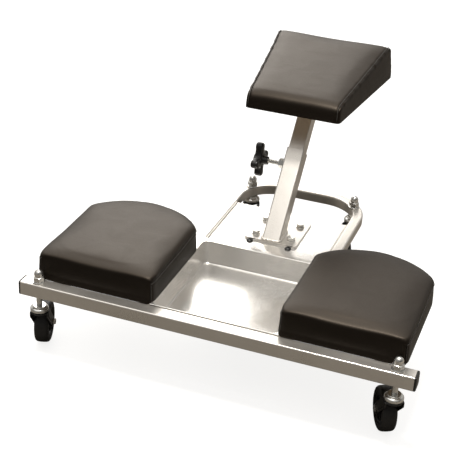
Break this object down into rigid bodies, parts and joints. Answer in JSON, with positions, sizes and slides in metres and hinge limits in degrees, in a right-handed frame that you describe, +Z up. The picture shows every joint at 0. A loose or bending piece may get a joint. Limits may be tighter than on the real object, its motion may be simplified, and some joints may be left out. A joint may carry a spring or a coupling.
{
  "type": "kneeling creeper",
  "caption": "Low wheeled frame with two padded knee cushions, a sunk tool tray and a wedge-shaped padded rest on a leaning telescopic post held by a clamp knob.",
  "frame": {"origin": "on the floor, under the middle of the overall footprint", "axes": "+X to the user's right across the front tube, +Y from the front tube to the padded rest, +Z up"},
  "size_m": [0.6891, 0.6872, 0.43],
  "materials": {
    "frame_steel": "satin",
    "tray_steel": "smooth",
    "zinc": "bright zinc",
    "black_plastic": "matte",
    "black_steel": "semi-gloss",
    "vinyl": "soft grained",
    "plywood": "raw",
    "rubber": "matte"
  },
  "bodies": {
    "frame": {"front_tube": "frame_steel", "end_cap_left": "black_plastic", "end_cap_right": "black_plastic", "rear_loop": "frame_steel", "cross_rails": "frame_steel", "knee_rail_left": "frame_steel", "knee_rail_right": "frame_steel", "tool_tray": "tray_steel", "rear_plate": "tray_steel", "plate_screws": "black_steel", "knee_board_left": "plywood", "knee_board_right": "plywood", "knee_cushion_left": "vinyl", "knee_cushion_right": "vinyl", "knee_screws": "zinc", "post_base": "frame_steel", "post_base_bolts": "zinc", "post_sleeve": "frame_steel", "clamp_nut": "zinc", "stem_fl": "zinc", "nut_fl": "zinc", "stem_fr": "zinc", "nut_fr": "zinc", "stem_rl": "zinc", "nut_rl": "zinc", "stem_rr": "zinc", "nut_rr": "zinc"},
    "rest": {"inner_post": "frame_steel", "rest_plate": "frame_steel", "rest_board": "plywood", "rest_cushion": "vinyl", "rest_screws": "zinc"},
    "clamp_shoe": {"clamp_shoe": "zinc"},
    "clamp_handle": {"clamp_screw": "zinc", "clamp_knob": "black_plastic"},
    "swivel_fl": {"fork_fl": "black_steel", "balls_fl": "zinc", "axle_fl": "zinc"},
    "wheel_fl": {"tyre_fl": "rubber", "hub_fl": "black_plastic"},
    "swivel_fr": {"fork_fr": "black_steel", "balls_fr": "zinc", "axle_fr": "zinc"},
    "wheel_fr": {"tyre_fr": "rubber", "hub_fr": "black_plastic"},
    "swivel_rl": {"fork_rl": "black_steel", "balls_rl": "zinc", "axle_rl": "zinc"},
    "wheel_rl": {"tyre_rl": "rubber", "hub_rl": "black_plastic"},
    "swivel_rr": {"fork_rr": "black_steel", "balls_rr": "zinc", "axle_rr": "zinc"},
    "wheel_rr": {"tyre_rr": "rubber", "hub_rr": "black_plastic"}
  },
  "joints": [
    {"name": "swivel_turn_fl", "type": "hinge", "parent": "frame", "child": "swivel_fl", "pos_m": [-0.311, -0.32764, 0.079], "axis": [0, 0, 1], "continuous": true},
    {"name": "wheel_spin_fl", "type": "hinge", "parent": "swivel_fl", "child": "wheel_fl", "pos_m": [-0.32243, -0.2914, 0.0375], "axis": [0.9537, 0.3007, 0], "continuous": true},
    {"name": "swivel_turn_fr", "type": "hinge", "parent": "frame", "child": "swivel_fr", "pos_m": [0.311, -0.32764, 0.079], "axis": [0, 0, 1], "continuous": true},
    {"name": "wheel_spin_fr", "type": "hinge", "parent": "swivel_fr", "child": "wheel_fr", "pos_m": [0.29434, -0.29349, 0.0375], "axis": [0.8988, 0.4384, 0], "continuous": true},
    {"name": "swivel_turn_rl", "type": "hinge", "parent": "frame", "child": "swivel_rl", "pos_m": [-0.10521, 0.18482, 0.079], "axis": [0, 0, 1], "continuous": true},
    {"name": "wheel_spin_rl", "type": "hinge", "parent": "swivel_rl", "child": "wheel_rl", "pos_m": [-0.12066, 0.21953, 0.0375], "axis": [0.9135, 0.4067, 0], "continuous": true},
    {"name": "swivel_turn_rr", "type": "hinge", "parent": "frame", "child": "swivel_rr", "pos_m": [0.10521, 0.18482, 0.079], "axis": [0, 0, 1], "continuous": true},
    {"name": "wheel_spin_rr", "type": "hinge", "parent": "swivel_rr", "child": "wheel_rr", "pos_m": [0.07077, 0.20087, 0.0375], "axis": [0.4226, 0.9063, 0], "continuous": true},
    {"name": "post_height", "type": "slide", "parent": "frame", "child": "rest", "axis": [0, 0.6626, 0.749], "range_m": [-0.065, 0.035]},
    {"name": "clamp_feed", "type": "slide", "parent": "frame", "child": "clamp_shoe", "axis": [-1, 0, 0], "range_m": [0, 0.004]},
    {"name": "clamp_turn", "type": "hinge", "parent": "clamp_shoe", "child": "clamp_handle", "pos_m": [-0.053, 0.09776, 0.2431], "axis": [-1, 0, 0], "range_deg": [-5, 1156]}
  ],
  "couplings": [
    {"joint": "clamp_turn", "follows": "clamp_feed", "rad_per_m": 5026.5}
  ]
}
